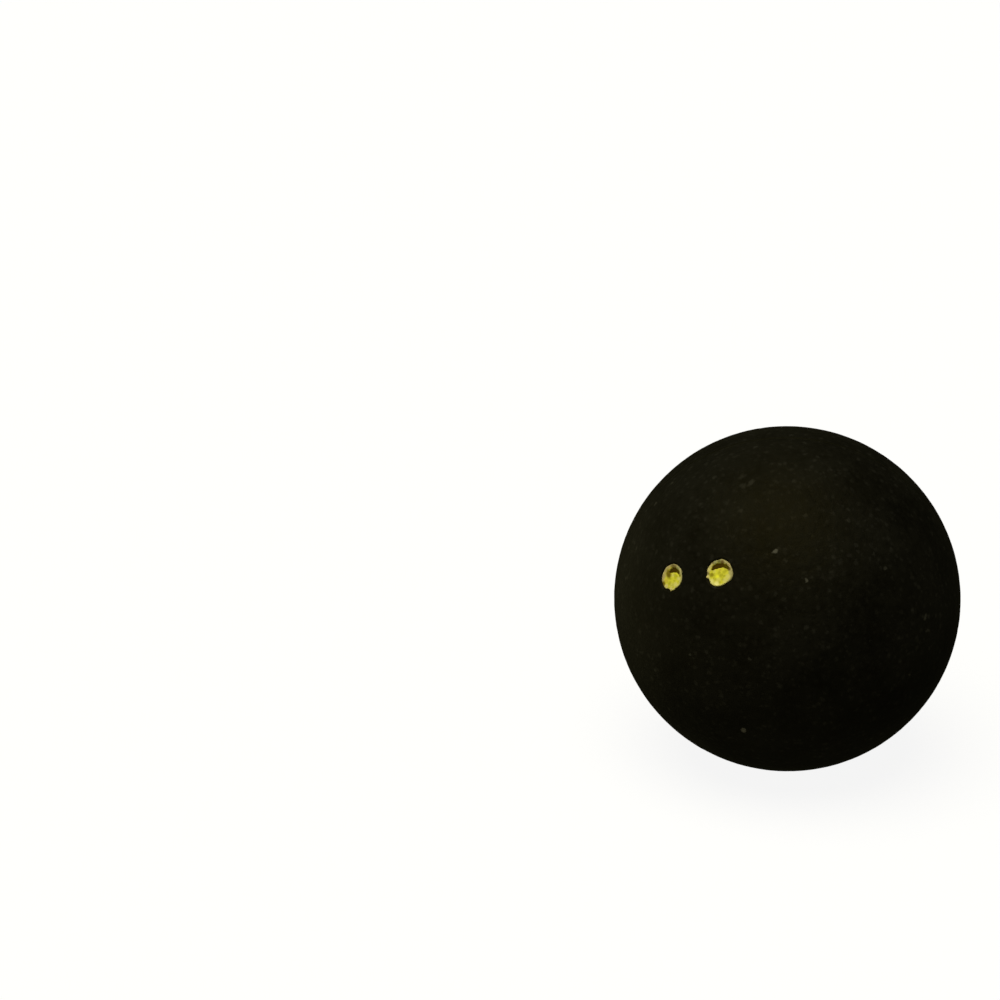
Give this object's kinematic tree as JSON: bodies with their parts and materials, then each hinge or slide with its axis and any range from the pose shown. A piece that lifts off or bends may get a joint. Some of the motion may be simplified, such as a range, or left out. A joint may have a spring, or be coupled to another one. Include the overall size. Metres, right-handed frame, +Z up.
{
  "type": "squash ball",
  "caption": "Hollow black rubber squash ball: moulded half shells glued rim to rim round trapped air, with small stamped yellow ink dots that mark its speed.",
  "frame": {"origin": "centre of the ball", "axes": "+Y along the seam's axis, from the front half shell, which carries the dots, to the rear one, so that the seam lies in the XZ plane; +Z up, as the ball lies in the picture; +X to the right as seen from the front"},
  "size_m": [0.04, 0.04, 0.04],
  "materials": {
    "rubber": "matt, finely buffed",
    "adhesive": "satin, cured rubber solution",
    "ink": "satin, stamped ink film"
  },
  "bodies": {
    "root": {"front_half_shell": "rubber", "rear_half_shell": "rubber", "seam_bond": "adhesive", "left_dot": "ink", "right_dot": "ink"}
  },
  "joints": []
}
